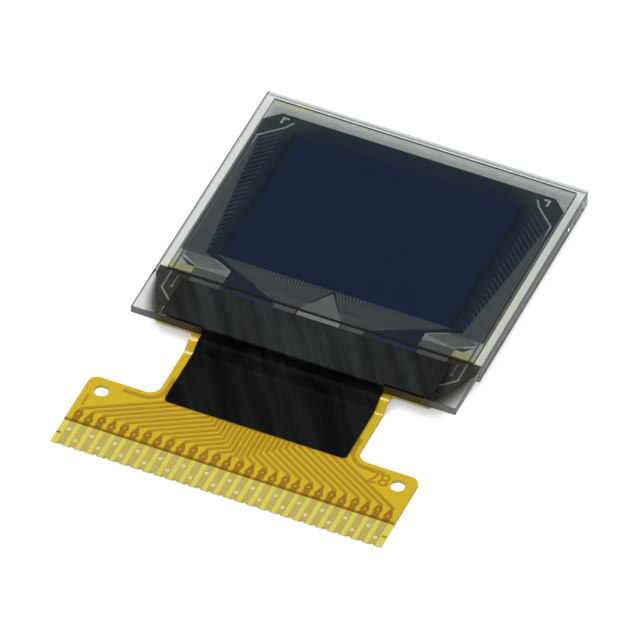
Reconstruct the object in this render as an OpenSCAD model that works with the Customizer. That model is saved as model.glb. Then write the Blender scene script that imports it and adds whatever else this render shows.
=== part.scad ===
// Small passive-matrix display module, lying on its back with its flexible tail towards -Y.
// Origin: middle of the whole module's outline, on the surface that it rests on.
// +X runs from pad 1 to the last pad, +Y from the tail to the panel, +Z out of the screen.

/* [Active area] */
// Width of the lit area
area_w = 13.42; // [11.5:0.01:15]
// Height of the lit area
area_h = 10.06; // [8.5:0.01:12]
// Number of anode columns
columns = 64; // [32:2:64]
// Number of cathode rows
rows = 48; // [24:2:48]
// Bare line between two neighbouring columns or rows
line_gap = 0.02; // [0.01:0.005:0.04]
// Thickness of one deposited layer
layer_t = 0.01; // [0.005:0.001:0.012]

/* [Panel glass] */
// Glass between the lit area and each side of the panel
side_margin = 2.52; // [2.4:0.01:2.8]
// Glass between the lit area and the back of the panel
back_margin = 2.32; // [2:0.01:2.6]
// Distance from the front of the cap glass to the lit area
front_margin = 2.42; // [2.35:0.01:2.8]
// Thickness of the substrate glass
substrate_t = 0.5; // [0.3:0.05:0.7]
// Thickness of the cap glass
cap_t = 0.5; // [0.4:0.05:0.7]
// Depth of the ledge that the cap glass leaves bare
ledge_h = 3.3; // [3.1:0.05:3.5]
// Depth of the pocket etched into the cap glass
pocket_t = 0.25; // [0.15:0.05:0.3]
// Clear width between the seal and the pocket
pocket_land = 0.5; // [0.2:0.05:0.8]

/* [Seal] */
// Height of the seal between the two plates
seal_t = 0.04; // [0.04:0.01:0.1]
// Bare glass outside the seal
seal_edge = 0.08; // [0.04:0.01:0.2]
// Width of the seal along the sides
seal_side = 0.5; // [0.3:0.05:0.6]
// Width of the seal along the front
seal_front = 0.84; // [0.6:0.02:0.9]
// Width of the seal along the back
seal_back = 1.07; // [0.6:0.01:1.1]
// Chamfer across the seal's inner corners
seal_chamfer = 0.78; // [0.3:0.02:1]

/* [Leads on the glass] */
// Distance from the lit area to the start of the column leads
column_lead_start = 0.13; // [0.05:0.01:0.2]
// Distance from the lit area to the start of the row leads
row_lead_start = 0.5; // [0.3:0.05:0.6]
// Share of the pitch that a lead fills
lead_share = 0.7; // [0.5:0.05:0.8]
// Width of the guard lead round the row leads
guard_w = 0.1; // [0.06:0.01:0.12]
// Half-width of the column leads where they leave the seal
fan_out = 2.55; // [2.4:0.05:2.8]
// Half-width of the ground pad between the two halves of the column leads
ground_w = 1.2; // [0.8:0.05:1.5]
// Width of one bundle of row leads where it leaves the seal
bundle_w = 1.65; // [1.5:0.05:1.8]
// Length of the arms of the corner marks
mark_l = 0.5; // [0.3:0.05:0.6]
// Width of the arms of the corner marks
mark_w = 0.13; // [0.08:0.01:0.16]
// Length of the test stubs in front of the seal
stub_l = 0.8; // [0.5:0.05:1]
// Width of the test stubs
stub_w = 0.06; // [0.04:0.01:0.1]

/* [Polarizer] */
// Thickness of the polarizer film
film_t = 0.2; // [0.1:0.02:0.3]
// Glass left bare at each side of the film
film_side = 0.53; // [0.3:0.01:0.8]
// Glass left bare behind the film
film_end = 0.62; // [0.3:0.01:0.8]
// How far the film sits to the right of the panel's middle
film_shift = 0.12; // [-0.2:0.01:0.2]

/* [Desiccant] */
// Thickness of the desiccant sheet
sheet_t = 0.12; // [0.08:0.01:0.14]
// Space between the sheet and the pocket's wall
sheet_land = 0.6; // [0.2:0.05:1]

/* [Driver chip] */
// Length of the driver chip
chip_w = 6.8; // [6.4:0.05:7.2]
// Depth of the driver chip
chip_d = 0.86; // [0.8:0.02:0.9]
// Thickness of the driver chip
chip_t = 0.3; // [0.2:0.02:0.34]
// Distance from the ledge's front edge to the chip's middle
chip_y = 1.7; // [1.65:0.01:1.8]
// Thickness of the dark coating on the ledge
coating_t = 0.08; // [0.04:0.01:0.15]

/* [Flexible circuit] */
// Number of solder pads
pads = 28; // [22:2:28]
// Pitch of the solder pads
pad_pitch = 0.65; // [0.6:0.01:0.68]
// Width of one solder pad
pad_w = 0.36; // [0.3:0.01:0.42]
// Distance from the last pad's middle to the tail's side
pad_edge = 0.545; // [0.45:0.005:0.7]
// Distance from the ledge's front edge to the end of the tail
reach = 10.05; // [9.8:0.05:12]
// Length of the wide tail
tail_l = 5.33; // [5.2:0.01:5.6]
// Length of the bare pads at the end of the tail
bare_l = 1.71; // [1.5:0.01:1.9]
// Width of the neck
neck_w = 11.3; // [11:0.05:12]
// Room for the corner guard beside the tracks on the neck
track_side = 2; // [1.95:0.05:2.3]
// Glass left free at each side of the bonded end
head_side = 1.43; // [1.3:0.01:1.6]
// Length of the end that is bonded to the glass
head_l = 1.05; // [0.9:0.05:1.1]
// Radius of the fillets between the neck and the tail
neck_r = 0.65; // [0.3:0.05:0.8]
// Radius of the tail's outer corners
corner_r = 0.5; // [0.2:0.05:0.7]
// Thickness of the base film
base_t = 0.05; // [0.025:0.005:0.06]
// Thickness of the copper
copper_t = 0.02; // [0.012:0.002:0.03]
// Thickness of each coverlay
coverlay_t = 0.03; // [0.02:0.005:0.04]
// Diameter of the locating holes
hole_d = 0.8; // [0.6:0.02:0.9]
// Distance from the tail's side to the locating holes
hole_side = 0.94; // [0.8:0.01:1]
// Distance from the top of the tail to the locating holes
hole_top = 0.92; // [0.8:0.01:1.1]
// Diameter of the pin holes in the pads
pin_d = 0.2; // [0.14:0.01:0.24]
// Diameter of the plated vias
via_d = 0.14; // [0.1:0.01:0.18]
// Width of a track
track_w = 0.17; // [0.12:0.01:0.18]
// Width of the copper corner guards
corner_guard_w = 0.22; // [0.15:0.01:0.25]
// Film left bare between a corner guard and the fillet beside it
guard_inset = 0.25; // [0.15:0.01:0.3]
// Length of a corner guard past the fillet along the tail
guard_tail_l = 1.1; // [0.8:0.05:1.4]
// Length of a corner guard past the fillet along the neck
guard_neck_l = 0.85; // [0.5:0.05:0.9]

/* [Bend] */
// Radius of both bends, at the middle of the base film
bend_r = 0.6; // [0.4:0.05:0.8]
// Steepest slope of the bend
bend_angle = 32; // [28:1:40]
// Flat stretch between the ledge and the bend
bend_start = 0.3; // [0.25:0.01:0.5]

/* [Shield tape] */
// Glass left bare at each side of the tape
tape_side = 1.56; // [1.4:0.01:2]
// How far the wide part of the tape sits to the right of the panel's middle
tape_shift = 0.12; // [-0.2:0.01:0.2]
// Tail left bare at each side of the tape
tape_neck_side = 0.5; // [0.3:0.05:0.8]
// Thickness of the tape
tape_t = 0.05; // [0.03:0.005:0.08]
// Distance from the ledge's front edge to the end of the tape
tape_reach = 4.95; // [4.6:0.05:5.2]
// Bare glass between the tape and the polarizer
tape_gap = 0.35; // [0.25:0.05:0.5]
// Bare glass between the wide part of the tape and the ledge's front edge
tape_lip = 0.12; // [0.05:0.01:0.3]

/* [Hidden] */
$fn = 32;

// Heights
glass_z = cap_t + seal_t;                     // underside of the substrate glass
screen_z = glass_z + substrate_t;             // top of the substrate glass
first_z = glass_z - layer_t;                  // leads and anodes lie on the glass
second_z = first_z - layer_t;                 // bank, organic layer and bond films
third_z = second_z - layer_t;                 // cathode rows
copper_d = base_t/2 + copper_t;               // offsets from the middle of the base film
coverlay_d = copper_d + coverlay_t;
tail_z = coverlay_d;                          // middle of the base film along the tail
head_z = second_z - copper_d;                 // middle of the base film under the glass

// The panel is the lit area and the glass round it
panel_w = area_w + 2*side_margin;
panel_h = ledge_h + front_margin + area_h + back_margin;

// Places along Y, from the front edge of the ledge
front_y = (reach - panel_h)/2;                // that edge, seen from the origin
area_y = ledge_h + front_margin;
film_y = ledge_h;
film_h = panel_h - film_end - film_y;
tail_y = tail_l - reach;                      // top of the tail
bare_y = bare_l - reach;                      // end of the coverlay
tape_y = film_y - tape_gap;

// The space inside the seal
cavity_x = panel_w/2 - seal_edge - seal_side;
cavity_y = ledge_h + seal_edge + seal_front;
cavity_h = panel_h - seal_edge - seal_back - cavity_y;

// Row leads: half of the rows leave at each side, and leave the seal as one bundle
side_rows = rows/2;
column_pitch = area_w/columns;
row_pitch = area_h/rows;
lead_x = area_w/2 + row_lead_start;
inner_track = lead_x + 0.13;
outer_track = cavity_x - 0.35;
bundle_out = inner_track - 0.04;
bundle_in = bundle_out - bundle_w;
guard_x = cavity_x - 0.23;
stub_x = (bundle_out + guard_x)/2 + 0.1;
chip_top = chip_y + chip_d/2;

// Flexible circuit
pad_span = (pads - 1)*pad_pitch;
tail_w = pad_span + 2*pad_edge;
neck_pitch = (neck_w - 2*track_side)/(pads - 1);
neck_span = (pads - 1)*neck_pitch;
head_w = panel_w - 2*head_side;
tape_w = panel_w - 2*tape_side;
tape_neck_w = neck_w - 2*tape_neck_side;
hole_x = tail_w/2 - hole_side;
hole_y = tail_y - hole_top;
via_l = 1.04;                                 // length of a via pad
via_w = 0.46;                                 // diameter of a via pad
via_y = bare_y + via_l;                       // top of the via pads
turn_y = via_y + 0.08;                        // where the tracks turn
neck_y = tail_y + neck_r;                     // where the neck has its full width
straight_y = neck_y + 0.1;                    // from here on the tracks run straight
track_slope = (neck_y - 0.1 - turn_y)/((pad_span - neck_span)/2);
bend_rise = head_z - tail_z;
bend_slope_l = (bend_rise - 2*bend_r*(1 - cos(bend_angle)))/sin(bend_angle);
bend_l = 2*bend_r*sin(bend_angle) + bend_slope_l*cos(bend_angle);
bend_end = -bend_start - bend_l;              // where the neck lies flat again
head_fillet = 0.25;
slack = 0.02;                                 // room round a piece in a cut-out

// Value i of n, evenly spread from a to b
function spread(a, b, n, i) = a + (b - a)*i/(n - 1);
function pad_x(i) = (i - (pads - 1)/2)*pad_pitch;
function neck_x(i) = (i - (pads - 1)/2)*neck_pitch;
function column_x(i) = (i - (columns - 1)/2)*column_pitch;
function via_at(i) = bare_y + (i % 2 == 0 ? 0.69 : 0.47);

// Outline of a line of width w along the points p, mitred at its turns
function heading(p, i) = let (v = p[i + 1] - p[i]) v/norm(v);
function left_of(v) = [-v.y, v.x];
function mitre(p, i) =
    let (a = left_of(heading(p, max(i - 1, 0))), b = left_of(heading(p, min(i, len(p) - 2))))
    (a + b)/(1 + a*b);
function stroke(p, w) = concat(
    [for (i = [0 : len(p) - 1]) p[i] + mitre(p, i)*w/2],
    [for (i = [len(p) - 1 : -1 : 0]) p[i] - mitre(p, i)*w/2]);

// The tail's side view: points [y, z] at distance d above the middle of the base film
bend_steps = 6;
function crest(d) = [for (k = [0 : bend_steps]) let (a = bend_angle*k/bend_steps)
    [-bend_start - (bend_r + d)*sin(a), head_z - bend_r + (bend_r + d)*cos(a)]];
function foot(d) = [for (k = [bend_steps : -1 : 0]) let (a = bend_angle*k/bend_steps)
    [bend_end + (bend_r - d)*sin(a), tail_z + bend_r - (bend_r - d)*cos(a)]];
function side_line(d, y_in, y_out) =
    concat([[y_in, head_z + d]], crest(d), foot(d), [[y_out, tail_z + d]]);
function flip(p) = [for (i = [len(p) - 1 : -1 : 0]) p[i]];
function side_layer(d0, d1, y_in, y_out) =
    concat(side_line(d1, y_in, y_out), flip(side_line(d0, y_in, y_out)));

module place() { translate([0, front_y, 0]) children(); }

module both_sides() { children(); mirror([1, 0, 0]) children(); }

module deposit(z) { place() translate([0, 0, z]) linear_extrude(layer_t) children(); }

// A strip of width w round x, cut from a side view given as [y, z] points
module along_x(x, w, side) {
    translate([x - w/2, 0, 0]) rotate([90, 0, 90]) linear_extrude(w) polygon(side);
}

module bar(w, y0, y1) { translate([-w/2, y0]) square([w, y1 - y0]); }

// Outline of the space inside the seal, drawn in by inset
module cavity(inset) {
    x = cavity_x - inset;
    y0 = cavity_y + inset;
    y1 = cavity_y + cavity_h - inset;
    c = seal_chamfer - inset*(2 - sqrt(2));
    polygon([[-x + c, y0], [x - c, y0], [x, y0 + c], [x, y1 - c],
             [x - c, y1], [-x + c, y1], [-x, y1 - c], [-x, y0 + c]]);
}

// ---- Panel ----

module polarizer_film() {
    color([0.33, 0.35, 0.36, 0.6])
    place() translate([film_shift, 0, screen_z]) linear_extrude(film_t)
        bar(panel_w - 2*film_side, film_y, film_y + film_h);
}

module substrate_glass() {
    color([0.85, 0.9, 0.88, 0.35])
    place() translate([0, 0, glass_z]) linear_extrude(substrate_t) bar(panel_w, 0, panel_h);
}

module cap_glass() {
    color([0.8, 0.87, 0.85, 0.35])
    place() difference() {
        linear_extrude(cap_t) bar(panel_w, ledge_h, panel_h);
        translate([0, 0, cap_t - pocket_t]) linear_extrude(pocket_t + 1) cavity(pocket_land);
    }
}

module seal_bead() {
    color([0.74, 0.74, 0.6])
    place() difference() {
        translate([0, 0, cap_t]) linear_extrude(seal_t) difference() {
            bar(panel_w - 2*seal_edge, ledge_h + seal_edge, panel_h - seal_edge);
            cavity(0);
        }
        translate([0, 0, first_z]) linear_extrude(1) bar(2*cavity_x, 0, cavity_y + seal_chamfer);
    }
}

module desiccant_sheet() {
    color([0.9, 0.9, 0.87])
    place() translate([0, 0, cap_t - pocket_t]) linear_extrude(sheet_t)
        cavity(pocket_land + sheet_land);
}

// ---- Layers and leads on the glass ----

module anode_columns() {
    color([0.1, 0.15, 0.25])
    deposit(first_z) for (i = [0 : columns - 1])
        translate([column_x(i), 0])
            bar(column_pitch - line_gap, area_y - column_lead_start, area_y + area_h);
}

module organic_layer() {
    color([0.07, 0.1, 0.18])
    deposit(second_z) bar(area_w, area_y, area_y + area_h);
}

module cathode_rows() {
    color([0.8, 0.81, 0.82])
    deposit(third_z) for (i = [0 : rows - 1])
        translate([0, area_y + i*row_pitch + line_gap/2])
            bar(2*lead_x, 0, row_pitch - line_gap);
}

// The bank fills the space inside the seal, but its front corners end along the outermost leads
module bank_layer() {
    corner_x = bundle_out + 0.12;
    corner_y = area_y - 1.4;
    color([0.09, 0.11, 0.14])
    deposit(second_z) difference() {
        cavity(slack);
        bar(area_w, area_y, area_y + area_h);
        both_sides() polygon([[corner_x, 0], [corner_x, corner_y],
                              [cavity_x + 1, corner_y + 0.45*(cavity_x + 1 - corner_x)],
                              [cavity_x + 1, 0]]);
    }
}

// One column lead narrows from its column to its place beside the ground pad
module column_leads() {
    half = columns/2;
    inner = ground_w + 0.1;
    fan_pitch = (fan_out - inner)/half;
    fan_y = ledge_h + 0.3;
    start_y = area_y - column_lead_start;
    for (i = [0 : half - 1]) {
        x0 = column_x(i);
        x1 = -fan_out + (i + 0.5)*fan_pitch;
        w0 = column_pitch*lead_share/2;
        w1 = fan_pitch*lead_share/2;
        polygon([[x0 - w0, start_y], [x0 + w0, start_y],
                 [x1 + w1, fan_y], [x1 + w1, chip_top - 0.15],
                 [x1 - w1, chip_top - 0.15], [x1 - w1, fan_y]]);
    }
}

module column_leads_left() {
    color([0.5, 0.51, 0.54]) deposit(first_z) column_leads();
}

module column_leads_right() {
    color([0.5, 0.51, 0.54]) deposit(first_z) mirror([1, 0, 0]) column_leads();
}

// Row leads run out at 45 degrees, down the side, in under the lit area and to the chip's end.
// Lead 0 is the outermost one and serves the top row.
function row_lead(k, start_y) =
    let (side_x = spread(outer_track, inner_track, side_rows, k),
         seal_x = spread(bundle_out, bundle_in, side_rows, k))
    [[-lead_x, start_y],
     [-side_x, start_y - (side_x - lead_x)],
     [-side_x, area_y + spread(-0.8, -0.25, side_rows, k)],
     [-seal_x, area_y + spread(-1.4, -1.05, side_rows, k)],
     [-seal_x, spread(chip_y + 0.45, ledge_h - 0.45, side_rows, k)],
     [0.05 - chip_w/2, chip_y + spread(-0.47, 0.47, side_rows, k)*chip_d]];

module row_leads(shift) {
    w = 0.94*chip_d/(side_rows - 1)*lead_share;
    for (k = [0 : side_rows - 1])
        polygon(stroke(row_lead(k, area_y + area_h - (2*k + shift)*row_pitch), w));
}

module row_leads_left() {
    color([0.42, 0.44, 0.47]) deposit(first_z) row_leads(0.5);
}

module row_leads_right() {
    color([0.42, 0.44, 0.47]) deposit(first_z) mirror([1, 0, 0]) row_leads(1.5);
}

module supply_pad() {
    gap = 0.1;
    low = ledge_h - 0.35;
    polygon([[-inner_track + gap, area_y - 0.25 + gap],
             [-bundle_in + gap, area_y - 1.05 + gap/2],
             [-bundle_in + gap, low],
             [-fan_out - gap, low],
             [-fan_out - gap, ledge_h + 0.3],
             [-area_w/2 - gap, area_y - column_lead_start - 0.04]]);
}

module supply_pad_left() {
    color([0.12, 0.17, 0.3]) deposit(first_z) supply_pad();
}

module supply_pad_right() {
    color([0.12, 0.17, 0.3]) deposit(first_z) mirror([1, 0, 0]) supply_pad();
}

module ground_pad() {
    low = chip_top - 0.15;
    fan_y = ledge_h + 0.3;
    color([0.66, 0.66, 0.63])
    deposit(first_z)
        polygon([[0, area_y - 0.35], [ground_w, fan_y], [ground_w, low],
                 [-ground_w, low], [-ground_w, fan_y]]);
}

// The guard lead starts at the panel's far corner and ends on the bonded end of the tail
module guard_lead() {
    top_y = area_y + area_h;
    drop = guard_x - lead_x - 0.05;
    end_x = head_w/2 - 0.4;
    end_y = head_l + 0.15;
    polygon(stroke([[-lead_x + 0.2, top_y + 0.7], [-lead_x - 0.05, top_y + 0.25],
                    [-guard_x, top_y + 0.25 - drop], [-guard_x, end_y + guard_x - end_x],
                    [-end_x, end_y], [-end_x, 0.3]], guard_w));
}

module guard_lead_left() {
    color([0.72, 0.73, 0.7]) deposit(first_z) guard_lead();
}

module guard_lead_right() {
    color([0.72, 0.73, 0.7]) deposit(first_z) mirror([1, 0, 0]) guard_lead();
}

// Angle marks by the far corners of the lit area
module corner_marks() {
    x = lead_x + mark_l;
    y = area_y + area_h + 2*mark_l - mark_w/2;
    arm = mark_l - mark_w;
    color([0.72, 0.73, 0.7])
    deposit(first_z) both_sides() {
        translate([x - mark_w, y - mark_l]) square([mark_w, mark_l]);
        translate([x - arm, y - mark_w]) square([arm - mark_w/2, mark_w]);
    }
}

module test_stubs() {
    color([0.66, 0.67, 0.64])
    deposit(first_z) both_sides() {
        translate([stub_x - stub_w/2, ledge_h - stub_l]) square([stub_w, stub_l + 0.05]);
        translate([stub_x, ledge_h - stub_l]) circle(d = 3*stub_w);
    }
}

// ---- Driver chip and bonds under the ledge ----

module driver_chip() {
    color([0.3, 0.31, 0.34])
    place() translate([-chip_w/2, chip_y - chip_d/2, second_z - chip_t])
        cube([chip_w, chip_d, chip_t]);
}

module chip_bond_film() {
    color([0.75, 0.7, 0.55])
    deposit(second_z) bar(chip_w + 0.1, chip_y - chip_d/2 - 0.05, chip_top + 0.05);
}

module input_leads() {
    chip_pitch = (chip_w - 0.4)/(pads - 1);
    w = 0.4*chip_pitch;
    color([0.55, 0.56, 0.58])
    deposit(first_z) for (i = [0 : pads - 1])
        polygon(stroke([[neck_x(i), 0.12], [neck_x(i), head_l],
                        [(i - (pads - 1)/2)*chip_pitch, chip_y - chip_d/2 + 0.02]], w));
}

module tail_bond_film() {
    color([0.75, 0.7, 0.55])
    deposit(second_z) bar(head_w - 0.1, 0.1, head_l - 0.05);
}

module ledge_coating() {
    x = panel_w/2 - 0.1;
    color([0.16, 0.16, 0.16])
    place() translate([0, 0, first_z - coating_t]) linear_extrude(coating_t) difference() {
        polygon([[-x, ledge_h], [x, ledge_h], [x, ledge_h - 1], [x - 0.2, 1],
                 [x - 0.6, 0.3], [x - 1, 0.1], [1 - x, 0.1], [0.6 - x, 0.3],
                 [0.2 - x, 1], [-x, ledge_h - 1]]);
        bar(chip_w + 0.1 + 2*slack, chip_y - chip_d/2 - 0.05 - slack, chip_top + 0.05 + slack);
        bar(head_w + 2*slack, -1, head_l + slack);
    }
}

// ---- Flexible tail ----

module tail_holes() { both_sides() translate([hole_x, hole_y]) circle(d = hole_d); }

// Pin holes sit in two staggered rows, with half a hole in the end of each pad
module pin_holes() {
    for (i = [0 : pads - 1]) {
        translate([pad_x(i), -reach + (i % 2 == 0 ? 1.15 : 0.5)]) circle(d = pin_d);
        translate([pad_x(i), -reach]) circle(d = pin_d);
    }
}

module via_holes() {
    for (i = [0 : pads - 1])
        translate([pad_x(i), via_at(i)]) circle(d = via_d);
}

// Tail outline down to y_end, with the fillets up to the neck
module tail_outline(y_end) {
    bar(tail_w, y_end, tail_y - corner_r);
    bar(tail_w - 2*corner_r, tail_y - corner_r, tail_y);
    both_sides() translate([tail_w/2 - corner_r, tail_y - corner_r]) circle(corner_r);
    bar(neck_w, tail_y, tail_y + neck_r);
    both_sides() translate([neck_w/2, tail_y]) difference() {
        square(neck_r);
        translate([neck_r, neck_r]) circle(neck_r);
    }
}

// Stretch in front of the glass, with the fillets out to the bonded end
module head_outline(y_end) {
    bar(neck_w, -head_fillet, y_end);
    both_sides() translate([neck_w/2, -head_fillet]) difference() {
        square(head_fillet);
        translate([head_fillet, 0]) circle(head_fillet);
    }
}

module tail_base_film() {
    color([0.86, 0.74, 0.2])
    place() {
        translate([0, 0, head_z - base_t/2]) linear_extrude(base_t) {
            head_outline(0);
            bar(head_w, 0, head_l);
        }
        along_x(0, neck_w, side_layer(-base_t/2, base_t/2, -head_fillet, neck_y));
        translate([0, 0, tail_z - base_t/2]) linear_extrude(base_t) difference() {
            tail_outline(-reach);
            tail_holes();
            pin_holes();
            via_holes();
        }
    }
}

module tail_tracks() {
    color([0.72, 0.5, 0.12])
    place() for (i = [0 : pads - 1]) {
        x = pad_x(i);
        xn = neck_x(i);
        top = turn_y + track_slope*abs(x - xn);
        along_x(xn, track_w, side_layer(base_t/2, copper_d, head_l - 0.1, straight_y));
        translate([0, 0, tail_z + base_t/2]) linear_extrude(copper_t) difference() {
            union() {
                polygon(stroke([[x, via_at(i)], [x, turn_y], [xn, top], [xn, straight_y]], track_w));
                translate([x, 0]) bar(pad_w, bare_y, via_at(i));
                translate([x, via_at(i)]) circle(d = via_w);
                translate([x, via_at(i)]) polygon([[-via_w/2, 0], [via_w/2, 0],
                                                   [track_w/2, via_w], [-track_w/2, via_w]]);
            }
            translate([x, via_at(i)]) circle(d = via_d);
        }
    }
}

module tail_vias() {
    color([0.8, 0.58, 0.3])
    place() translate([0, 0, tail_z - copper_d]) linear_extrude(2*copper_d) via_holes();
}

module front_coverlay() {
    start = -0.06;
    color([0.88, 0.72, 0.16, 0.8])
    place() {
        translate([0, 0, head_z + copper_d]) linear_extrude(coverlay_t) intersection() {
            head_outline(0);
            bar(head_w, -1, start);
        }
        along_x(0, neck_w, side_layer(copper_d, coverlay_d, -head_fillet, neck_y));
        translate([0, 0, tail_z + copper_d]) linear_extrude(coverlay_t) difference() {
            tail_outline(bare_y);
            tail_holes();
        }
    }
}

module back_coverlay() {
    color([0.88, 0.72, 0.16, 0.8])
    place() {
        translate([0, 0, head_z - coverlay_d]) linear_extrude(coverlay_t) {
            head_outline(0);
            bar(head_w, 0, head_l - 0.1);
        }
        along_x(0, neck_w, side_layer(-coverlay_d, -copper_d, -head_fillet, neck_y));
        translate([0, 0, tail_z - coverlay_d]) linear_extrude(coverlay_t) difference() {
            tail_outline(bare_y);
            tail_holes();
        }
    }
}

module front_solder_pads() {
    color([0.74, 0.69, 0.42])
    place() translate([0, 0, tail_z + base_t/2]) linear_extrude(copper_t) difference() {
        for (i = [0 : pads - 1]) translate([pad_x(i), 0]) bar(pad_w, -reach, bare_y);
        pin_holes();
    }
}

module back_solder_pads() {
    color([0.76, 0.74, 0.66])
    place() translate([0, 0, tail_z - copper_d]) linear_extrude(copper_t) difference() {
        for (i = [0 : pads - 1]) translate([pad_x(i), 0]) bar(pad_w, -reach, via_y - 0.1);
        pin_holes();
        via_holes();
    }
}

// Copper guards against tearing follow the inner corners between the neck and the tail
module corner_guard() {
    w = corner_guard_w;
    r = neck_r + guard_inset;
    translate([neck_w/2 + neck_r, neck_y]) {
        intersection() {
            difference() {
                circle(r + w);
                circle(r);
            }
            translate([-r - w, -r - w]) square(r + w);
        }
        translate([0, -r - w]) square([guard_tail_l, w]);
        translate([-r - w, 0]) square([w, guard_neck_l]);
    }
}

module corner_guard_right() {
    color([0.7, 0.48, 0.1])
    place() translate([0, 0, tail_z + base_t/2]) linear_extrude(copper_t) corner_guard();
}

module corner_guard_left() {
    color([0.7, 0.48, 0.1])
    place() translate([0, 0, tail_z + base_t/2]) linear_extrude(copper_t)
        mirror([1, 0, 0]) corner_guard();
}

// Short lines at both sides show how far the tail goes in
module edge_marks() {
    color([0.6, 0.55, 0.2])
    place() translate([0, 0, tail_z + base_t/2]) linear_extrude(copper_t)
        both_sides() translate([tail_w/2 - 0.26, -reach + 0.7]) square([0.26, 0.1]);
}

// ---- Shield tape: wide on the ledge, over its front edge and down the neck ----

module shield_tape() {
    steps = 6;
    curl = 0.12;                              // radius where the tape leaves the ledge's edge
    top = head_z + coverlay_d;                // top of the coverlay in front of the ledge
    corner = 0.25;
    flat_y = corner - tape_reach;
    over_edge = [for (k = [0 : steps]) let (a = 90*k/steps)
        [-tape_t*sin(a), screen_z + tape_t*cos(a)]];
    onto_tail = [for (k = [0 : steps]) let (a = 90*k/steps)
        [-curl + (curl - tape_t)*cos(a), top + curl - (curl - tape_t)*sin(a)]];
    under_curl = [for (k = [steps : -1 : 0]) let (a = 90*k/steps)
        [-curl + curl*cos(a), top + curl - curl*sin(a)]];
    outer = concat([[tape_lip + 0.5, screen_z + tape_t]], over_edge, onto_tail,
                   crest(coverlay_d + tape_t), foot(coverlay_d + tape_t),
                   [[flat_y, tail_z + coverlay_d + tape_t]]);
    inner = concat([[flat_y, tail_z + coverlay_d]], flip(foot(coverlay_d)),
                   flip(crest(coverlay_d)), under_curl,
                   [[0, screen_z], [tape_lip + 0.5, screen_z]]);
    color([0.1, 0.1, 0.1])
    place() {
        translate([tape_shift, 0, screen_z]) linear_extrude(tape_t) bar(tape_w, tape_lip, tape_y);
        along_x(0, tape_neck_w, concat(outer, inner));
        translate([0, 0, tail_z + coverlay_d]) linear_extrude(tape_t) {
            bar(tape_neck_w - 2*corner, -tape_reach, flat_y);
            both_sides() intersection() {
                translate([tape_neck_w/2 - corner, flat_y]) circle(corner);
                translate([tape_neck_w/2 - corner, flat_y - corner]) square(corner);
            }
        }
    }
}

polarizer_film();
substrate_glass();
anode_columns();
organic_layer();
cathode_rows();
bank_layer();
column_leads_left();
column_leads_right();
row_leads_left();
row_leads_right();
supply_pad_left();
supply_pad_right();
ground_pad();
guard_lead_left();
guard_lead_right();
corner_marks();
test_stubs();
seal_bead();
desiccant_sheet();
cap_glass();
driver_chip();
chip_bond_film();
input_leads();
ledge_coating();
tail_bond_film();
tail_base_film();
tail_tracks();
tail_vias();
front_coverlay();
back_coverlay();
front_solder_pads();
back_solder_pads();
corner_guard_left();
corner_guard_right();
edge_marks();
shield_tape();
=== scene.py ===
# Small OLED module on a pale table, seen from its tail.
import math
import bpy
from mathutils import Matrix, Vector


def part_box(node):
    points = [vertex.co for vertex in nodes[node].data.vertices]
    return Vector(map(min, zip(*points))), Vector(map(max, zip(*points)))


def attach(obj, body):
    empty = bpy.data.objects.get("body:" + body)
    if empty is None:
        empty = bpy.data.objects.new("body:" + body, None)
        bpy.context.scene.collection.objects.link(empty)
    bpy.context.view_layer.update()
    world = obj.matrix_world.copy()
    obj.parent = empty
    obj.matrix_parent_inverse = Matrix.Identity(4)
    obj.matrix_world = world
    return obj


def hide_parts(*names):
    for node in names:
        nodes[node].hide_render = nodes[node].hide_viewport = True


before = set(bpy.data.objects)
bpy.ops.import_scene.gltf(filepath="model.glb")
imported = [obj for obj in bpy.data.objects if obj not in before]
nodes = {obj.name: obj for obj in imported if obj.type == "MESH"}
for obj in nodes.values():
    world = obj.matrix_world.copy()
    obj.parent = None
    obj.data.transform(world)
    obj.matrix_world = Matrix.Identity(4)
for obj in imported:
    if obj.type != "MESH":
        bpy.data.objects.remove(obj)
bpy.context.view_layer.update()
mm = 0.001
print("frame loaded:", len(nodes), "nodes")


def paint(r, g, b, a=1.0):
    # a colour as it is written in a paint box, turned into light values
    def light(c):
        c /= 255
        return c / 12.92 if c <= 0.04045 else ((c + 0.055) / 1.055) ** 2.4
    return (light(r), light(g), light(b), a)


def deselectAll():
    if bpy.context.object is not None and bpy.context.object.mode != "OBJECT":
        bpy.ops.object.mode_set(mode="OBJECT")
    bpy.ops.object.select_all(action="DESELECT")


def pick(piece):
    deselectAll()
    piece.select_set(True)
    bpy.context.view_layer.objects.active = piece


def settle(piece):
    # the piece's place goes into its mesh
    pick(piece)
    bpy.ops.object.transform_apply(location=True, rotation=True, scale=True)
    return piece


def dress(piece, material):
    piece.data.materials.clear()
    piece.data.materials.append(material)


def nodeBox(name):
    low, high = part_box(name)
    return Vector(low), Vector(high)


def joined(pieces, name):
    # several meshes become one piece
    deselectAll()
    for piece in pieces:
        piece.select_set(True)
    bpy.context.view_layer.objects.active = pieces[0]
    bpy.ops.object.join()
    whole = bpy.context.object
    whole.name = name
    return settle(whole)


def copyTo(piece, place):
    pick(piece)
    bpy.ops.object.duplicate(linked=False)
    twin = bpy.context.object
    twin.location = place
    return twin


def mount(piece):
    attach(piece, "root")


# the ledge's front edge is the zero line that the camera and the finishes measure from
ledgeFront = nodeBox("substrate_glass")[0].y

view = {
    "azimuth": 21.7688,
    "elevation": 44.164,
    "roll": 2.0895,
    "distance": 689.17,
    "right": 1.3655,
    "up": 2.7157,
    "lens": 743.06,
}


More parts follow.
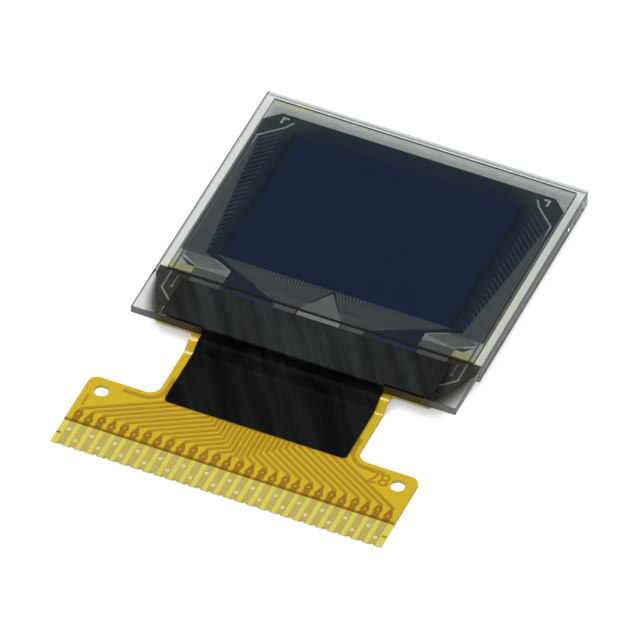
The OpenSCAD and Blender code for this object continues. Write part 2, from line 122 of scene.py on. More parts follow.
def addCamera():
    a, e, r = (math.radians(view[k]) for k in ("azimuth", "elevation", "roll"))
    back = Vector((math.sin(a) * math.cos(e), -math.cos(a) * math.cos(e), math.sin(e)))
    right = Vector((math.cos(a), math.sin(a), 0))
    up = back.cross(right)
    place = (right * view["right"] + up * view["up"] + back * view["distance"]) * mm
    place.y += ledgeFront
    turnedRight = right * math.cos(r) + up * math.sin(r)
    turnedUp = up * math.cos(r) - right * math.sin(r)
    data = bpy.data.cameras.new("camera")
    data.lens = view["lens"]
    data.sensor_width = 36
    data.clip_start = 0.02
    data.clip_end = 20
    camera = bpy.data.objects.new("camera", data)
    bpy.context.scene.collection.objects.link(camera)
    turn = Matrix((turnedRight, turnedUp, back)).transposed().to_4x4()
    camera.matrix_world = Matrix.Translation(place) @ turn
    bpy.context.scene.camera = camera


addCamera()

light = {
    "skyShare": 0.62,        # of the light on a level surface
    "mirrorShare": 0.06,     # what a mirror-smooth face sees of the sky: a dark card
    "keyShare": 0.4,
    "keyDistance": 0.6,
    "keySize": 0.35,
    "keyAzimuth": -60,       # degrees from +Y towards +X
    "keyElevation": 58,
}


def addLight():
    world = bpy.data.worlds.new("studio")
    bpy.context.scene.world = world
    world.use_nodes = True
    tree = world.node_tree
    tree.nodes.clear()
    out = tree.nodes.new("ShaderNodeOutputWorld")
    path = tree.nodes.new("ShaderNodeLightPath")

    def addSky(strength):
        sky = tree.nodes.new("ShaderNodeBackground")
        sky.inputs["Color"].default_value = (1, 1, 1, 1)
        sky.inputs["Strength"].default_value = strength
        return sky

    def choose(mask, unmasked, masked):
        mix = tree.nodes.new("ShaderNodeMixShader")
        tree.links.new(mask, mix.inputs[0])
        tree.links.new(unmasked.outputs[0], mix.inputs[1])
        tree.links.new(masked.outputs[0], mix.inputs[2])
        return mix

    mirrored = tree.nodes.new("ShaderNodeMath")
    mirrored.operation = "MULTIPLY"
    tree.links.new(path.outputs["Is Glossy Ray"], mirrored.inputs[0])
    tree.links.new(path.outputs["Is Singular Ray"], mirrored.inputs[1])
    behind = choose(mirrored.outputs[0], addSky(light["skyShare"]), addSky(light["mirrorShare"]))
    seen = choose(path.outputs["Is Camera Ray"], behind, addSky(1))
    tree.links.new(seen.outputs[0], out.inputs["Surface"])

    a, e = math.radians(light["keyAzimuth"]), math.radians(light["keyElevation"])
    aim = Vector((math.sin(a) * math.cos(e), math.cos(a) * math.cos(e), math.sin(e)))
    data = bpy.data.lights.new("key", "AREA")
    data.shape = "SQUARE"
    data.size = light["keySize"]
    distance = light["keyDistance"]
    data.energy = light["keyShare"] * (math.pi * distance) ** 2 / math.sin(e)
    lamp = bpy.data.objects.new("key", data)
    bpy.context.scene.collection.objects.link(lamp)
    lamp.location = aim * distance
    lamp.rotation_euler = aim.to_track_quat("Z", "Y").to_euler()


addLight()

table = {
    "width": 1.6,
    "drop": 0.01,            # mm below the module
    "colour": 0.93,
    "lift": 0.4,             # added where the camera looks straight at it
}


def addTable():
    deselectAll()
    bpy.ops.mesh.primitive_plane_add(size=table["width"], location=(0, 0, -table["drop"] * mm))
    top = bpy.context.object
    top.name = "table"
    material = bpy.data.materials.new("tablePaper")
    material.use_nodes = True
    tree = material.node_tree
    shader = tree.nodes["Principled BSDF"]
    shader.inputs["Base Color"].default_value = (table["colour"],) * 3 + (1,)
    shader.inputs["Roughness"].default_value = 0.9
    shader.inputs["Specular IOR Level"].default_value = 0.0
    shader.inputs["Emission Color"].default_value = (1, 1, 1, 1)
    path = tree.nodes.new("ShaderNodeLightPath")
    lift = tree.nodes.new("ShaderNodeMath")
    lift.operation = "MULTIPLY"
    lift.inputs[1].default_value = table["lift"]
    tree.links.new(path.outputs["Is Camera Ray"], lift.inputs[0])
    tree.links.new(lift.outputs[0], shader.inputs["Emission Strength"])
    dress(top, material)


addTable()
print("camera, light and table are up")


def newGroup(name, inputs, outputs):
    group = bpy.data.node_groups.new(name, "ShaderNodeTree")
    for label, kind, value in inputs:
        item = group.interface.new_socket(name=label, in_out="INPUT", socket_type=kind)
        item.default_value = value
    for label, kind in outputs:
        group.interface.new_socket(name=label, in_out="OUTPUT", socket_type=kind)
    return group, group.nodes.new("NodeGroupInput"), group.nodes.new("NodeGroupOutput")


def addMath(tree, operation, a, b=None):
    # a and b are numbers or sockets
    node = tree.nodes.new("ShaderNodeMath")
    node.operation = operation
    for place, value in enumerate((a, b)):
        if value is None:
            continue
        if isinstance(value, (int, float)):
            node.inputs[place].default_value = value
        else:
            tree.links.new(value, node.inputs[place])
    return node.outputs[0]


def addStep(tree, value, start, end):
    # 0 at start, 1 at end, soft in between
    node = tree.nodes.new("ShaderNodeMapRange")
    node.interpolation_type = "SMOOTHSTEP"
    node.inputs["From Min"].default_value = min(start, end)
    node.inputs["From Max"].default_value = max(start, end)
    node.inputs["To Min"].default_value = 0 if start < end else 1
    node.inputs["To Max"].default_value = 1 if start < end else 0
    tree.links.new(value, node.inputs["Value"])
    return node.outputs["Result"]


def addBlend(tree, mask, colourA, colourB):
    # colours are values or sockets
    node = tree.nodes.new("ShaderNodeMix")
    node.data_type = "RGBA"
    if isinstance(mask, (int, float)):
        node.inputs[0].default_value = mask
    else:
        tree.links.new(mask, node.inputs[0])
    for place, colour in ((6, colourA), (7, colourB)):
        if isinstance(colour, tuple):
            node.inputs[place].default_value = colour
        else:
            tree.links.new(colour, node.inputs[place])
    return node.outputs[2]


def makeMottle():
    # slow change between two shades, with a little fine grain, and a mask for the roughness
    group, given, out = newGroup(
        "mottle",
        [("Shade A", "NodeSocketColor", (0.5, 0.5, 0.5, 1)),
         ("Shade B", "NodeSocketColor", (0.6, 0.6, 0.6, 1)),
         ("Scale", "NodeSocketFloat", 400.0),
         ("Grain", "NodeSocketFloat", 0.3)],
        [("Color", "NodeSocketColor"), ("Mask", "NodeSocketFloat")])
    n, link = group.nodes.new, group.links.new
    where = n("ShaderNodeTexCoord")
    slow = n("ShaderNodeTexNoise")
    slow.inputs["Detail"].default_value = 2
    fine = n("ShaderNodeTexNoise")
    fine.inputs["Detail"].default_value = 3
    tenfold = n("ShaderNodeMath")
    tenfold.operation = "MULTIPLY"
    tenfold.inputs[1].default_value = 9
    blend = n("ShaderNodeMix")
    shades = n("ShaderNodeMix")
    shades.data_type = "RGBA"
    link(where.outputs["Object"], slow.inputs["Vector"])
    link(where.outputs["Object"], fine.inputs["Vector"])
    link(given.outputs["Scale"], slow.inputs["Scale"])
    link(given.outputs["Scale"], tenfold.inputs[0])
    link(tenfold.outputs[0], fine.inputs["Scale"])
    link(given.outputs["Grain"], blend.inputs[0])
    link(slow.outputs["Fac"], blend.inputs[2])
    link(fine.outputs["Fac"], blend.inputs[3])
    link(blend.outputs[0], shades.inputs[0])
    link(given.outputs["Shade A"], shades.inputs[6])
    link(given.outputs["Shade B"], shades.inputs[7])
    link(shades.outputs[2], out.inputs["Color"])
    link(blend.outputs[0], out.inputs["Mask"])
    return group


def makePlan():
    # millimetres along X, from the ledge's front edge along Y, and above the table
    group, given, out = newGroup(
        "plan", [],
        [("Across", "NodeSocketFloat"), ("Outward", "NodeSocketFloat"),
         ("Along", "NodeSocketFloat"), ("Height", "NodeSocketFloat")])
    where = group.nodes.new("ShaderNodeTexCoord")
    split = group.nodes.new("ShaderNodeSeparateXYZ")
    group.links.new(where.outputs["Object"], split.inputs[0])
    across = addMath(group, "MULTIPLY", split.outputs["X"], 1000.0)
    outward = addMath(group, "ABSOLUTE", across)
    fromLedge = addMath(group, "SUBTRACT", split.outputs["Y"], ledgeFront)
    along = addMath(group, "MULTIPLY", fromLedge, 1000.0)
    height = addMath(group, "MULTIPLY", split.outputs["Z"], 1000.0)
    for name, value in (("Across", across), ("Outward", outward), ("Along", along), ("Height", height)):
        group.links.new(value, out.inputs[name])
    return group


def makeStreaks():
    # long soft streaks at an angle across the sheet
    group, given, out = newGroup(
        "streaks",
        [("Turn", "NodeSocketFloat", 0.5), ("Scale", "NodeSocketFloat", 700.0),
         ("Stretch", "NodeSocketFloat", 0.08)],
        [("Mask", "NodeSocketFloat")])
    n, link = group.nodes.new, group.links.new
    where = n("ShaderNodeTexCoord")
    turn = n("ShaderNodeVectorRotate")
    turn.rotation_type = "Z_AXIS"
    squeeze = n("ShaderNodeVectorMath")
    squeeze.operation = "MULTIPLY"
    amount = n("ShaderNodeCombineXYZ")
    amount.inputs["X"].default_value = 1
    amount.inputs["Z"].default_value = 1
    noise = n("ShaderNodeTexNoise")
    noise.inputs["Detail"].default_value = 3
    noise.inputs["Roughness"].default_value = 0.6
    link(where.outputs["Object"], turn.inputs["Vector"])
    link(given.outputs["Turn"], turn.inputs["Angle"])
    link(turn.outputs[0], squeeze.inputs[0])
    link(given.outputs["Stretch"], amount.inputs["Y"])
    link(amount.outputs[0], squeeze.inputs[1])
    link(squeeze.outputs[0], noise.inputs["Vector"])
    link(given.outputs["Scale"], noise.inputs["Scale"])
    link(addStep(group, noise.outputs["Fac"], 0.36, 0.66), out.inputs["Mask"])
    return group


mottle = makeMottle()
plan = makePlan()
streaks = makeStreaks()


def newMaterial(name):
    material = bpy.data.materials.new(name)
    material.use_nodes = True
    tree = material.node_tree
    return material, tree, tree.nodes["Principled BSDF"]


def addMottle(tree, shadeA, shadeB, scale, grain):
    node = tree.nodes.new("ShaderNodeGroup")
    node.node_tree = mottle
    node.inputs["Shade A"].default_value = shadeA
    node.inputs["Shade B"].default_value = shadeB
    node.inputs["Scale"].default_value = scale
    node.inputs["Grain"].default_value = grain
    return node


def addPlan(tree):
    node = tree.nodes.new("ShaderNodeGroup")
    node.node_tree = plan
    return node.outputs


def addStreaks(tree, turn, scale, stretch):
    node = tree.nodes.new("ShaderNodeGroup")
    node.node_tree = streaks
    node.inputs["Turn"].default_value = turn
    node.inputs["Scale"].default_value = scale
    node.inputs["Stretch"].default_value = stretch
    return node.outputs["Mask"]


def addRange(tree, value, low, high):
    node = tree.nodes.new("ShaderNodeMapRange")
    node.inputs["To Min"].default_value = low
    node.inputs["To Max"].default_value = high
    tree.links.new(value, node.inputs["Value"])
    return node.outputs["Result"]


def mottled(name, shadeA, shadeB, scale=400, grain=0.3, rough=(0.35, 0.5), metal=0.0, specular=0.5, alpha=1.0):
    # returns the material, its tree, its shader and the mottle's colour, for more to be laid over
    material, tree, shader = newMaterial(name)
    node = addMottle(tree, shadeA, shadeB, scale, grain)
    tree.links.new(node.outputs["Color"], shader.inputs["Base Color"])
    tree.links.new(addRange(tree, node.outputs["Mask"], *rough), shader.inputs["Roughness"])
    shader.inputs["Metallic"].default_value = metal
    shader.inputs["Specular IOR Level"].default_value = specular
    shader.inputs["Alpha"].default_value = alpha
    return material, tree, shader, node.outputs["Color"]


def clearSheet(name, tint, lampTint, ior=1.5):
    # glass that lets the lamps and the sky through to what lies behind it
    material, tree, shader = newMaterial(name)
    shader.inputs["Base Color"].default_value = tint
    shader.inputs["Transmission Weight"].default_value = 1
    shader.inputs["IOR"].default_value = ior
    shader.inputs["Roughness"].default_value = 0
    path = tree.nodes.new("ShaderNodeLightPath")
    clear = tree.nodes.new("ShaderNodeBsdfTransparent")
    clear.inputs["Color"].default_value = lampTint
    forLamps = tree.nodes.new("ShaderNodeMixShader")
    forSky = tree.nodes.new("ShaderNodeMixShader")
    tree.links.new(path.outputs["Is Shadow Ray"], forLamps.inputs[0])
    tree.links.new(shader.outputs[0], forLamps.inputs[1])
    tree.links.new(clear.outputs[0], forLamps.inputs[2])
    tree.links.new(path.outputs["Is Diffuse Ray"], forSky.inputs[0])
    tree.links.new(forLamps.outputs[0], forSky.inputs[1])
    tree.links.new(clear.outputs[0], forSky.inputs[2])
    tree.links.new(forSky.outputs[0], tree.nodes["Material Output"].inputs["Surface"])
    return material, tree, shader, clear


plates = {
    "gap": 0.003,            # air between two sheets, mm
    "groundEdge": 0.035,     # ground edge of the glass
    "filmEdge": 0.012,
    "glassTint": (0.945, 0.955, 0.945, 1),
    "glassLamp": (0.97, 0.975, 0.97, 1),
    "filmTint": (0.63, 0.645, 0.64, 1),
    "filmLamp": (0.80, 0.81, 0.805, 1),
    "filmCut": (paint(52, 50, 40), paint(62, 59, 48)),
    "frontMiddle": (paint(58, 47, 22), paint(76, 62, 32)),
    "frontEnds": paint(118, 124, 122),
}


def addPlate(name, low, high, edge):
    # a cube drawn out to a plate, its sharp edges ground off
    deselectAll()
    bpy.ops.mesh.primitive_cube_add(size=1, location=(low + high) / 2)
    plate = bpy.context.object
    plate.name = name
    plate.scale = high - low
    settle(plate)
    bpy.ops.object.mode_set(mode="EDIT")
    bpy.ops.mesh.select_mode(type="EDGE")
    bpy.ops.mesh.select_all(action="SELECT")
    bpy.ops.mesh.bevel(offset=edge * mm, segments=2)
    bpy.ops.object.mode_set(mode="OBJECT")
    bpy.ops.object.shade_flat()
    return plate


def dressFaces(piece, material, wanted):
    # a second finish on the faces whose normal passes the test
    piece.data.materials.append(material)
    for face in piece.data.polygons:
        if wanted(face.normal):
            face.material_index = len(piece.data.materials) - 1


def addPlates():
    air = Vector((0, 0, plates["gap"] * mm))
    glass = clearSheet("panelGlass", plates["glassTint"], plates["glassLamp"], 1.52)[0]
    film = clearSheet("polarizerFilm", plates["filmTint"], plates["filmLamp"], 1.49)[0]

    low, high = nodeBox("substrate_glass")
    substrate = addPlate("substrateGlass", low + air, high - air, plates["groundEdge"])
    dress(substrate, glass)
    ground, tree, shader, colour = mottled("groundFront", *plates["frontMiddle"], 300, 0.4, (0.4, 0.6), specular=0.2)
    where = addPlan(tree)
    ends = addStep(tree, where["Outward"], 7.2, 9.0)
    tree.links.new(addBlend(tree, ends, colour, plates["frontEnds"]), shader.inputs["Base Color"])
    dressFaces(substrate, ground, lambda normal: normal.y < -0.9)
    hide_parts("substrate_glass")
    mount(substrate)

    low, high = nodeBox("polarizer_film")
    filmPlate = addPlate("polarizerFilm", low, high, plates["filmEdge"])
    dress(filmPlate, film)
    cut = mottled("filmCutEdge", *plates["filmCut"], 500, 0.4, (0.5, 0.7), specular=0.15)[0]
    dressFaces(filmPlate, cut, lambda normal: abs(normal.z) < 0.3)
    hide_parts("polarizer_film")
    mount(filmPlate)

    dress(nodes["cap_glass"], glass)


addPlates()
print("glass and film are laid")

screen = {
    "anodeA": (0.005, 0.029, 0.098, 1),
    "anodeB": (0.010, 0.037, 0.118, 1),
    "anodeRim": (0.009, 0.026, 0.050, 1),
    "rim": 0.45,             # width of the duller rim at the lit area's sides, mm
    "organicA": (0.010, 0.026, 0.060, 1),
    "organicB": (0.014, 0.032, 0.070, 1),
    "bankA": (0.010, 0.032, 0.066, 1),
    "bankB": (0.016, 0.039, 0.078, 1),
    "bankCorner": (0.060, 0.082, 0.105, 1),
    "bankSide": (0.105, 0.120, 0.130, 1),    # beside the row leads
    "bankFan": (0.070, 0.084, 0.096, 1),     # behind the column leads
    "bankOpen": (0.80, 0.82, 0.78, 1),       # behind the row leads in front of the screen
    "openFrom": 5.22,        # the bank thins out this far from the ledge's front edge
}


def finishScreen():
    navy, tree, shader, colour = mottled(
        "anodeColumns", screen["anodeA"], screen["anodeB"], 90, 0.15, (0.25, 0.35), specular=0.1)
    where = addPlan(tree)
    low, high = nodeBox("anode_columns")
    edge = high.x / mm
    streaked = addBlend(tree, addMath(tree, "MULTIPLY", addStreaks(tree, 0.45, 900, 0.06), 0.35),
                        colour, screen["anodeB"])
    rim = addStep(tree, where["Outward"], edge - screen["rim"], edge - 0.15)
    tree.links.new(addBlend(tree, rim, streaked, screen["anodeRim"]), shader.inputs["Base Color"])
    dress(nodes["anode_columns"], navy)

    organic = mottled("organicStack", screen["organicA"], screen["organicB"], 90, 0.15, (0.3, 0.4), specular=0.1)[0]
    dress(nodes["organic_layer"], organic)

    cathode = mottled("cathodeMetal", paint(196, 198, 202), paint(214, 215, 218), 300, 0.2, (0.2, 0.35), metal=1.0)[0]
    dress(nodes["cathode_rows"], cathode)

    bank, tree, shader, colour = mottled(
        "bankFilm", screen["bankA"], screen["bankB"], 120, 0.2, (0.35, 0.5), specular=0.1)
    where = addPlan(tree)
    corner = addStep(tree, addMath(tree, "ADD", where["Outward"], where["Along"]), 21.5, 23.5)
    cornered = addBlend(tree, corner, colour, screen["bankCorner"])
    beside = addMath(tree, "MULTIPLY", addStep(tree, where["Outward"], 7.9, 8.3), addStep(tree, where["Along"], 14.6, 13.6))
    sided = addBlend(tree, beside, cornered, screen["bankSide"])
    ahead = addStep(tree, where["Along"], screen["openFrom"] + 0.06, screen["openFrom"] - 0.06)
    past = addMath(tree, "MAXIMUM", addMath(tree, "SUBTRACT", where["Along"], 4.72), 0.0)
    beyond = addMath(tree, "SUBTRACT", where["Outward"], addMath(tree, "MULTIPLY", past, 2.21))
    front = addBlend(tree, addStep(tree, beyond, 5.45, 5.6), screen["bankFan"], screen["bankOpen"])
    tree.links.new(addBlend(tree, ahead, sided, front), shader.inputs["Base Color"])
    dress(nodes["bank_layer"], bank)


finishScreen()

leads = {
    "fanA": paint(96, 99, 108),
    "fanB": paint(108, 111, 118),
    "rowA": paint(118, 124, 132),
    "rowB": paint(134, 140, 146),
    "supplyA": paint(24, 42, 66),
    "supplyB": paint(30, 50, 76),
    "groundA": paint(146, 148, 146),
    "groundB": paint(158, 160, 156),
    "guardA": paint(104, 104, 96),
    "guardB": paint(118, 118, 108),
    "guardTop": paint(206, 212, 216),
    "guardSide": paint(120, 126, 132),
    "guardTurn": paint(136, 136, 126),
    "markA": paint(232, 236, 232),
    "markB": paint(246, 250, 246),
}


def finishLeads():
    fan = mottled("fanLeads", leads["fanA"], leads["fanB"], 500, 0.3, (0.4, 0.55), metal=0.2, specular=0.2)[0]
    side = mottled("rowLeads", leads["rowA"], leads["rowB"], 500, 0.3, (0.4, 0.55), metal=0.2, specular=0.2)[0]
    supply = mottled("supplyPads", leads["supplyA"], leads["supplyB"], 300, 0.2, (0.35, 0.5), specular=0.15)[0]
    ground = mottled("groundPad", leads["groundA"], leads["groundB"], 500, 0.3, (0.4, 0.55), specular=0.2)[0]
    guard, tree, shader, colour = mottled(
        "guardLeads", leads["guardA"], leads["guardB"], 500, 0.3, (0.4, 0.55), specular=0.2)
    where = addPlan(tree)
    turned = addBlend(tree, addStep(tree, where["Along"], 2.6, 2.2), colour, leads["guardTurn"])
    sided = addBlend(tree, addStep(tree, where["Along"], 3.3, 4.0), turned, leads["guardSide"])
    topped = addBlend(tree, addStep(tree, where["Along"], 13.6, 15.0), sided, leads["guardTop"])
    tree.links.new(topped, shader.inputs["Base Color"])
    mark = mottled("cornerMarks", leads["markA"], leads["markB"], 500, 0.3, (0.4, 0.55), specular=0.2)[0]
    for name, material in (
            ("column_leads_left", fan), ("column_leads_right", fan), ("input_leads", fan),
            ("row_leads_left", side), ("row_leads_right", side),
            ("supply_pad_left", supply), ("supply_pad_right", supply), ("ground_pad", ground),
            ("guard_lead_left", guard), ("guard_lead_right", guard), ("test_stubs", guard),
            ("corner_marks", mark)):
        dress(nodes[name], material)


finishLeads()

seal = {
    "shadeA": paint(236, 240, 236),
    "shadeB": paint(244, 247, 243),
    "front": paint(240, 234, 176),       # yellower at the front corners
    "cream": paint(250, 247, 222),
    # painted shade where the leads lie over the seal
    "shadeUnderLeads": (0.24, 0.25, 0.20, 1),
    "dark": (0.030, 0.028, 0.018, 1),    # the ledge's coating has crept in here
    "creep": 3.74,
}


def finishSeal():
    bead, tree, shader, colour = mottled("sealBead", seal["shadeA"], seal["shadeB"], 250, 0.3, (0.5, 0.7), specular=0.2)
    where = addPlan(tree)
    inFront = addStep(tree, where["Along"], 4.3, 4.2)
    yellow = addMath(tree, "MULTIPLY", inFront, addStep(tree, where["Outward"], 8.85, 8.7))
    withFront = addBlend(tree, yellow, colour, seal["front"])
    # painted shade: the seal's front is darkened where the leads cross in front of it
    leadShadeMask = addMath(tree, "MULTIPLY", inFront, addStep(tree, where["Outward"], 7.45, 7.38))
    withLeadShade = addBlend(tree, leadShadeMask, withFront, seal["shadeUnderLeads"])
    patchY = addMath(tree, "MULTIPLY", addStep(tree, where["Along"], 17.25, 17.4),
                     addStep(tree, where["Along"], 17.85, 17.7))
    patchX = addMath(tree, "MULTIPLY", addStep(tree, where["Across"], -8.6, -8.3),
                     addStep(tree, where["Across"], -6.4, -6.7))
    rightX = addMath(tree, "MULTIPLY", addStep(tree, where["Across"], 8.6, 8.7), addStep(tree, where["Across"], 9.0, 8.85))
    right = addMath(tree, "MULTIPLY", rightX, addStep(tree, where["Along"], 13.0, 6.0))
    patch = addMath(tree, "MAXIMUM", addMath(tree, "MULTIPLY", patchX, patchY), right)
    patched = addBlend(tree, patch, withLeadShade, seal["cream"])
    crept = addStep(tree, where["Along"], seal["creep"] + 0.05, seal["creep"] - 0.08)
    tree.links.new(addBlend(tree, crept, patched, seal["dark"]), shader.inputs["Base Color"])
    dress(nodes["seal_bead"], bead)

    sheet = mottled("desiccantSheet", paint(226, 226, 220), paint(236, 236, 231), 1500, 0.6, (0.75, 0.9))[0]
    dress(nodes["desiccant_sheet"], sheet)


finishSeal()

ledge = {
    "coatA": paint(44, 42, 34),
    "coatB": paint(52, 49, 40),
    "wide": 9.13,            # half-width of the coating at its back
    "turnsAt": 2.2,          # its outline draws in from here towards the front
    "curve": 0.105,
    "fade": 0.11,            # width of its soft edge at its back
    "fadeGrowth": 0.52,      # and how much wider that gets for each millimetre forward
    "siliconA": paint(86, 88, 94),
    "siliconB": paint(100, 102, 108),
    "bondA": paint(74, 70, 50),
    "bondB": paint(86, 81, 60),
}


def finishLedge():
    coating, tree, shader, colour = mottled("ledgeCoating", ledge["coatA"], ledge["coatB"], 300, 0.3, (0.4, 0.6), specular=0.1)
    where = addPlan(tree)
    # the coating's alpha fades out towards an outline that curves in towards the front
    drawn = addMath(tree, "MAXIMUM", addMath(tree, "SUBTRACT", ledge["turnsAt"], where["Along"]), 0.0)
    drawnIn = addMath(tree, "MULTIPLY", addMath(tree, "MULTIPLY", drawn, drawn), ledge["curve"])
    inside = addMath(tree, "SUBTRACT", addMath(tree, "SUBTRACT", ledge["wide"], drawnIn), where["Outward"])
    away = addMath(tree, "SUBTRACT", 3.16, where["Along"])
    fade = addMath(tree, "MAXIMUM", addMath(tree, "ADD", addMath(tree, "MULTIPLY", away, ledge["fadeGrowth"]), ledge["fade"]), 0.05)
    tree.links.new(addStep(tree, addMath(tree, "DIVIDE", inside, fade), 0, 1), shader.inputs["Alpha"])
    dress(nodes["ledge_coating"], coating)

    silicon = mottled("groundSilicon", ledge["siliconA"], ledge["siliconB"], 900, 0.5, (0.3, 0.45), metal=0.4)[0]
    bond = mottled("bondFilm", ledge["bondA"], ledge["bondB"], 800, 0.5, (0.4, 0.6))[0]
    dress(nodes["driver_chip"], silicon)
    dress(nodes["chip_bond_film"], bond)
    dress(nodes["tail_bond_film"], bond)


finishLedge()

creep = {
    "gap": 0.006,            # kept free of the seal and of the plates, mm
    "side": 0.12,            # kept free at each side
    "round": 0.008,
    "shadeA": (0.030, 0.028, 0.020, 1),
    "shadeB": (0.040, 0.037, 0.027, 1),
}


def addCreep():
    # the coating has crept in between the plates, up to the seal
    capHigh = nodeBox("cap_glass")[1]
    capLow = nodeBox("cap_glass")[0]
    sealLow, sealHigh = nodeBox("seal_bead")
    gap = creep["gap"] * mm
    low = Vector((capLow.x + creep["side"] * mm, capLow.y, capHigh.z + gap))
    high = Vector((capHigh.x - creep["side"] * mm, sealLow.y - gap, nodeBox("substrate_glass")[0].z - gap))
    bead = addPlate("coatingCreep", low, high, creep["round"])
    dress(bead, mottled("creptCoating", creep["shadeA"], creep["shadeB"], 300, 0.3, (0.4, 0.6), specular=0.1)[0])
    mount(bead)


addCreep()
print("panel finishes are on")

tail = {
    "baseA": (0.68, 0.59, 0.075, 1),
    "baseB": (0.73, 0.64, 0.098, 1),
    "baseHead": (0.075, 0.068, 0.035, 1),    # the bonded end, dark with coating
    "coverTint": (1.0, 0.88, 0.46, 1),       # what one passage through a coverlay leaves
    "coverEnd": (0.62, 0.50, 0.30, 1),
    "copperA": (0.44, 0.30, 0.030, 1),
    "copperB": (0.52, 0.38, 0.050, 1),
    "copperPad": (0.36, 0.21, 0.016, 1),
    "viaA": (0.58, 0.32, 0.14, 1),
    "viaB": (0.70, 0.42, 0.20, 1),
    "padA": paint(178, 160, 78),
    "padB": paint(194, 176, 92),
}


def coverlay(name, node, upward):
    # a tinted sheet; only its outer face colours the light, so each passage counts once
    tint = tail["coverTint"]
    squared = tuple(c * c for c in tint[:3]) + (1,)
    material, tree, shader, clear = clearSheet(name, squared, tint, 1.5)
    where = addPlan(tree)
    face = tree.nodes.new("ShaderNodeNewGeometry")
    split = tree.nodes.new("ShaderNodeSeparateXYZ")
    tree.links.new(face.outputs["True Normal"], split.inputs[0])
    outer = addMath(tree, "GREATER_THAN", addMath(tree, "MULTIPLY", split.outputs["Z"], upward), 0.0)
    end = (nodeBox(node)[0].y - ledgeFront) / mm
    darkEnd = addMath(tree, "MULTIPLY", addStep(tree, where["Along"], end + 0.26, end + 0.1), 0.85)
    endTint = tail["coverEnd"]
    endSquared = tuple(c * c for c in endTint[:3]) + (1,)
    white = (1, 1, 1, 1)
    seen = addBlend(tree, darkEnd, squared, endSquared)
    lit = addBlend(tree, darkEnd, tint, endTint)
    tree.links.new(addBlend(tree, outer, white, seen), shader.inputs["Base Color"])
    tree.links.new(addBlend(tree, outer, white, lit), clear.inputs["Color"])
    dress(nodes[node], material)


def finishTail():
    base, tree, shader, colour = mottled("baseFilm", tail["baseA"], tail["baseB"], 150, 0.2, (0.35, 0.5), specular=0.15)
    where = addPlan(tree)
    underGlass = addStep(tree, where["Along"], 0.0, 0.05)
    tree.links.new(addBlend(tree, underGlass, colour, tail["baseHead"]), shader.inputs["Base Color"])
    dress(nodes["tail_base_film"], base)
    coverlay("frontCoverlay", "front_coverlay", 1)
    coverlay("backCoverlay", "back_coverlay", -1)

    copper, tree, shader, colour = mottled(
        "rolledCopper", tail["copperA"], tail["copperB"], 600, 0.4, (0.4, 0.55), specular=0.15)
    where = addPlan(tree)
    nearPads = addStep(tree, where["Along"], -7.2, -7.45)
    tree.links.new(addBlend(tree, nearPads, colour, tail["copperPad"]), shader.inputs["Base Color"])
    via = mottled("viaBarrels", tail["viaA"], tail["viaB"], 600, 0.4, (0.4, 0.55), specular=0.2)[0]
    for name in ("tail_tracks", "corner_guard_left", "corner_guard_right", "edge_marks"):
        dress(nodes[name], copper)
    dress(nodes["tail_vias"], via)

    tinned, tree, shader, colour = mottled(
        "tinnedPads", tail["padA"], tail["padB"], 700, 0.4, (0.35, 0.5), metal=0.1, specular=0.2)
    brushed = addStreaks(tree, 0.0, 3000, 0.05)
    tree.links.new(addBlend(tree, addMath(tree, "MULTIPLY", brushed, 0.4), colour, tail["padB"]),
                   shader.inputs["Base Color"])
    dress(nodes["front_solder_pads"], tinned)
    dress(nodes["back_solder_pads"], tinned)


finishTail()

tape = {
    "dark": (0.004, 0.005, 0.005, 1),
    # painted sheen: the paler shade of the stripes is a painted reflection on the black tape
    "paintedSheen": (0.021, 0.027, 0.027, 1),
    "neck": 0.35,            # painted shade: what is left of these shades on the neck, darker than on the ledge
    "turn": -0.59,           # radians from +Y, leaning to the left at the back
    "specular": 0.08,
}


def finishTape():
    material, tree, shader, colour = mottled(
        "shieldTape", tape["dark"], tape["dark"], 300, 0.3, (0.4, 0.55), specular=tape["specular"])
    # the diagonal stripes are painted sheen, mixed into the tape's colour
    wide = addStreaks(tree, tape["turn"], 900, 0.08)
    fine = addStreaks(tree, tape["turn"], 2600, 0.08)
    mask = addMath(tree, "ADD", addMath(tree, "MULTIPLY", wide, 0.7), addMath(tree, "MULTIPLY", fine, 0.3))
    sheenStriped = addBlend(tree, mask, tape["dark"], tape["paintedSheen"])
    where = addPlan(tree)
    # painted shade: on the neck the tape is darkened and its painted sheen dimmed
    onNeck = addStep(tree, where["Along"], 0.1, -0.1)
    neckSheenShaded = tuple(c * tape["neck"] for c in tape["paintedSheen"][:3]) + (1,)
    tree.links.new(addBlend(tree, onNeck, sheenStriped, addBlend(tree, mask, (0, 0, 0, 1), neckSheenShaded)),
                   shader.inputs["Base Color"])
    gloss = addMath(tree, "MULTIPLY", addStep(tree, where["Along"], -0.1, 0.1), tape["specular"] * 0.6)
    tree.links.new(addMath(tree, "ADD", gloss, tape["specular"] * 0.4), shader.inputs["Specular IOR Level"])
    dress(nodes["shield_tape"], material)


finishTape()
print("tail finishes are on")

barrels = {
    "radius": 0.098,         # outer radius of a plated pin hole's wall, mm
    "wall": 0.045,
    "sides": 20,
    "inset": 0.004,          # how far the plating stops below the pad's face
    # the plated walls are painted near white: painted light standing in for the bright table seen through the holes
    "shadeA": paint(250, 240, 196),
    "shadeB": paint(255, 248, 214),
}


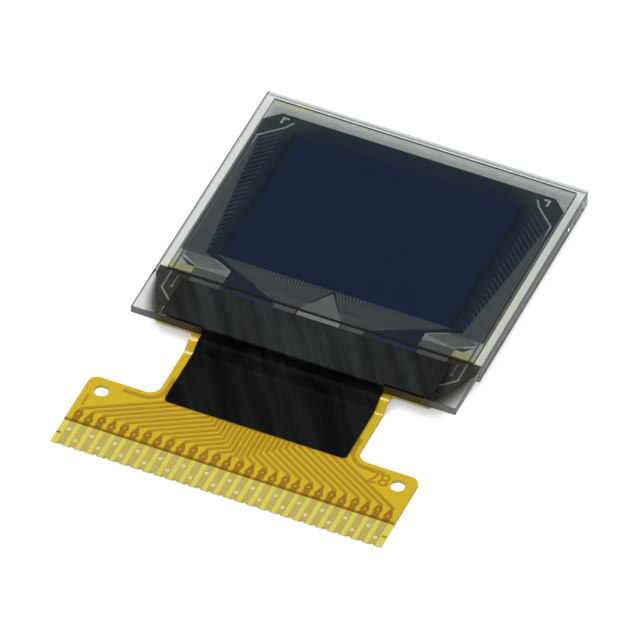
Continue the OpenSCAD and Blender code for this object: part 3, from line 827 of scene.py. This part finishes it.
def addBarrels():
    # a cylinder is opened into a tube and stands in each pin hole of the pads
    low, high = nodeBox("front_solder_pads")
    backLow, backHigh = nodeBox("back_solder_pads")
    pads = 28
    padWidth = 0.36
    pitch = ((high.x - low.x) / mm - padWidth) / (pads - 1)
    top = high.z / mm - barrels["inset"]
    bottom = backLow.z / mm + barrels["inset"]
    deselectAll()
    bpy.ops.mesh.primitive_cylinder_add(
        vertices=barrels["sides"], radius=barrels["radius"] * mm, depth=(top - bottom) * mm)
    tube = bpy.context.object
    bpy.ops.object.mode_set(mode="EDIT")
    bpy.ops.mesh.select_mode(type="FACE")
    bpy.ops.mesh.select_all(action="DESELECT")
    bpy.ops.object.mode_set(mode="OBJECT")
    for face in tube.data.polygons:
        face.select = abs(face.normal.z) > 0.9
    bpy.ops.object.mode_set(mode="EDIT")
    bpy.ops.mesh.inset(thickness=barrels["wall"] * mm)
    bpy.ops.mesh.bridge_edge_loops()
    bpy.ops.object.mode_set(mode="OBJECT")
    bpy.ops.object.shade_flat()
    middle = (top + bottom) / 2 * mm
    tubes = []
    for i in range(pads):
        x = (low.x / mm + padWidth / 2 + i * pitch) * mm
        y = low.y + (1.15 if i % 2 == 0 else 0.5) * mm
        if i == 0:
            tube.location = (x, y, middle)
            tubes.append(tube)
        else:
            tubes.append(copyTo(tube, (x, y, middle)))
    whole = joined(tubes, "pinBarrels")
    # painted light: the barrels carry the brightness of the lit table seen through the holes
    material = mottled("barrelsPaintedLight", barrels["shadeA"], barrels["shadeB"], 900, 0.4, (0.3, 0.4), specular=0.4)[0]
    dress(whole, material)
    mount(whole)


addBarrels()

numerals = {
    "one": ("1", -8.96, -6.98, 0.86),        # figure, left, bottom and height in mm
    "last": ("28", 6.68, -5.97, 0.88),
    "lift": 0.001,           # above the base film
    "thick": 0.014,
}


def addNumerals():
    # copper figures under the coverlay, drawn as text and made into solid meshes
    base = nodeBox("front_coverlay")
    floor = nodeBox("edge_marks")[0].z
    shade = mottled("figureCopper", tail["copperA"], tail["copperB"], 600, 0.4, (0.4, 0.55), specular=0.2)[0]
    for name, label in (("one", "numeralOne"), ("last", "numeralLast")):
        figure, left, bottom, height = numerals[name]
        deselectAll()
        bpy.ops.object.text_add(location=(0, 0, 0))
        text = bpy.context.object
        text.data.body = figure
        text.data.size = 1.0
        text.data.extrude = 0.5
        bpy.ops.object.convert(target="MESH")
        text = bpy.context.object
        text.name = label
        low = Vector([min(v.co[k] for v in text.data.vertices) for k in range(3)])
        high = Vector([max(v.co[k] for v in text.data.vertices) for k in range(3)])
        grow = height * mm / (high.y - low.y)
        text.scale = (grow, grow, numerals["thick"] * mm / (high.z - low.z))
        text.location = (left * mm - low.x * grow, bottom * mm + ledgeFront - low.y * grow,
                         floor + (numerals["lift"] + numerals["thick"] / 2) * mm)
        settle(text)
        dress(text, shade)
        mount(text)


addNumerals()
print("barrels and figures are in")


scene = bpy.context.scene
scene.view_settings.view_transform = "Standard"
